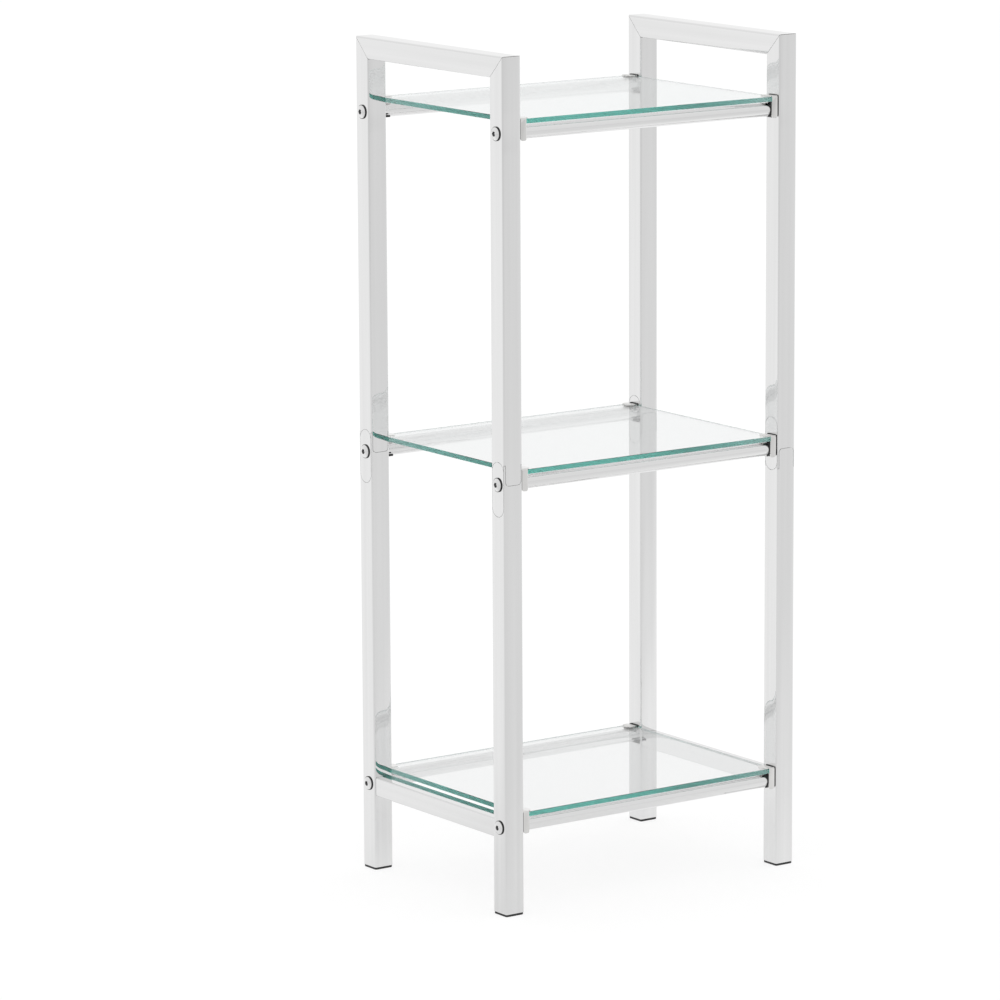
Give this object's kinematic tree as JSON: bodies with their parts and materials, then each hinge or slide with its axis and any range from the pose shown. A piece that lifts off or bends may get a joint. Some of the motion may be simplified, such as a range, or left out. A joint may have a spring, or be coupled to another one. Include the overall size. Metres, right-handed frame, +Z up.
{
  "type": "glass shelving unit",
  "caption": "Free-standing rack of chromed square tube with clear glass shelves lying on round cross rails, held at the corners by lipped clips, with mitred tube handles on top.",
  "frame": {"origin": "on the floor, at the middle of the four feet", "axes": "+X across the shelves to the right, +Y from front to back, +Z up"},
  "size_m": [0.305, 0.21, 0.71],
  "materials": {
    "frame_chrome": "polished chrome plate on square steel tube",
    "connector_chrome": "polished chrome plate on a cast plug",
    "rail_chrome": "polished chrome plate on round steel tube",
    "clip_chrome": "bright chrome plate on a bent steel clip",
    "screw_chrome": "bright plated steel",
    "insert_steel": "plain steel",
    "shelf_glass": "clear float glass with polished green edges",
    "holder_plastic": "black moulded plastic",
    "washer_plastic": "black plastic",
    "foot_plastic": "black moulded plastic"
  },
  "bodies": {
    "root": {"left_front_post_lower": "frame_chrome", "left_front_post_upper": "frame_chrome", "left_front_post_connector": "connector_chrome", "left_front_foot_plug": "foot_plastic", "left_rear_post_lower": "frame_chrome", "left_rear_post_upper": "frame_chrome", "left_rear_post_connector": "connector_chrome", "left_rear_foot_plug": "foot_plastic", "left_top_rail": "frame_chrome", "left_lower_side_rail": "frame_chrome", "right_front_post_lower": "frame_chrome", "right_front_post_upper": "frame_chrome", "right_front_post_connector": "connector_chrome", "right_front_foot_plug": "foot_plastic", "right_rear_post_lower": "frame_chrome", "right_rear_post_upper": "frame_chrome", "right_rear_post_connector": "connector_chrome", "right_rear_foot_plug": "foot_plastic", "right_top_rail": "frame_chrome", "right_lower_side_rail": "frame_chrome", "bottom_glass_shelf": "shelf_glass", "bottom_front_cross_rail": "rail_chrome", "bottom_left_front_clip": "clip_chrome", "bottom_right_front_clip": "clip_chrome", "bottom_rear_cross_rail": "rail_chrome", "bottom_left_rear_clip": "clip_chrome", "bottom_right_rear_clip": "clip_chrome", "bottom_rail_holders": "holder_plastic", "bottom_rail_inserts": "insert_steel", "bottom_screws": "screw_chrome", "bottom_washers": "washer_plastic", "middle_glass_shelf": "shelf_glass", "middle_front_cross_rail": "rail_chrome", "middle_left_front_clip": "clip_chrome", "middle_right_front_clip": "clip_chrome", "middle_rear_cross_rail": "rail_chrome", "middle_left_rear_clip": "clip_chrome", "middle_right_rear_clip": "clip_chrome", "middle_rail_holders": "holder_plastic", "middle_rail_inserts": "insert_steel", "middle_screws": "screw_chrome", "middle_washers": "washer_plastic", "top_glass_shelf": "shelf_glass", "top_front_cross_rail": "rail_chrome", "top_left_front_clip": "clip_chrome", "top_right_front_clip": "clip_chrome", "top_rear_cross_rail": "rail_chrome", "top_left_rear_clip": "clip_chrome", "top_right_rear_clip": "clip_chrome", "top_rail_holders": "holder_plastic", "top_rail_inserts": "insert_steel", "top_screws": "screw_chrome", "top_washers": "washer_plastic"}
  },
  "joints": []
}
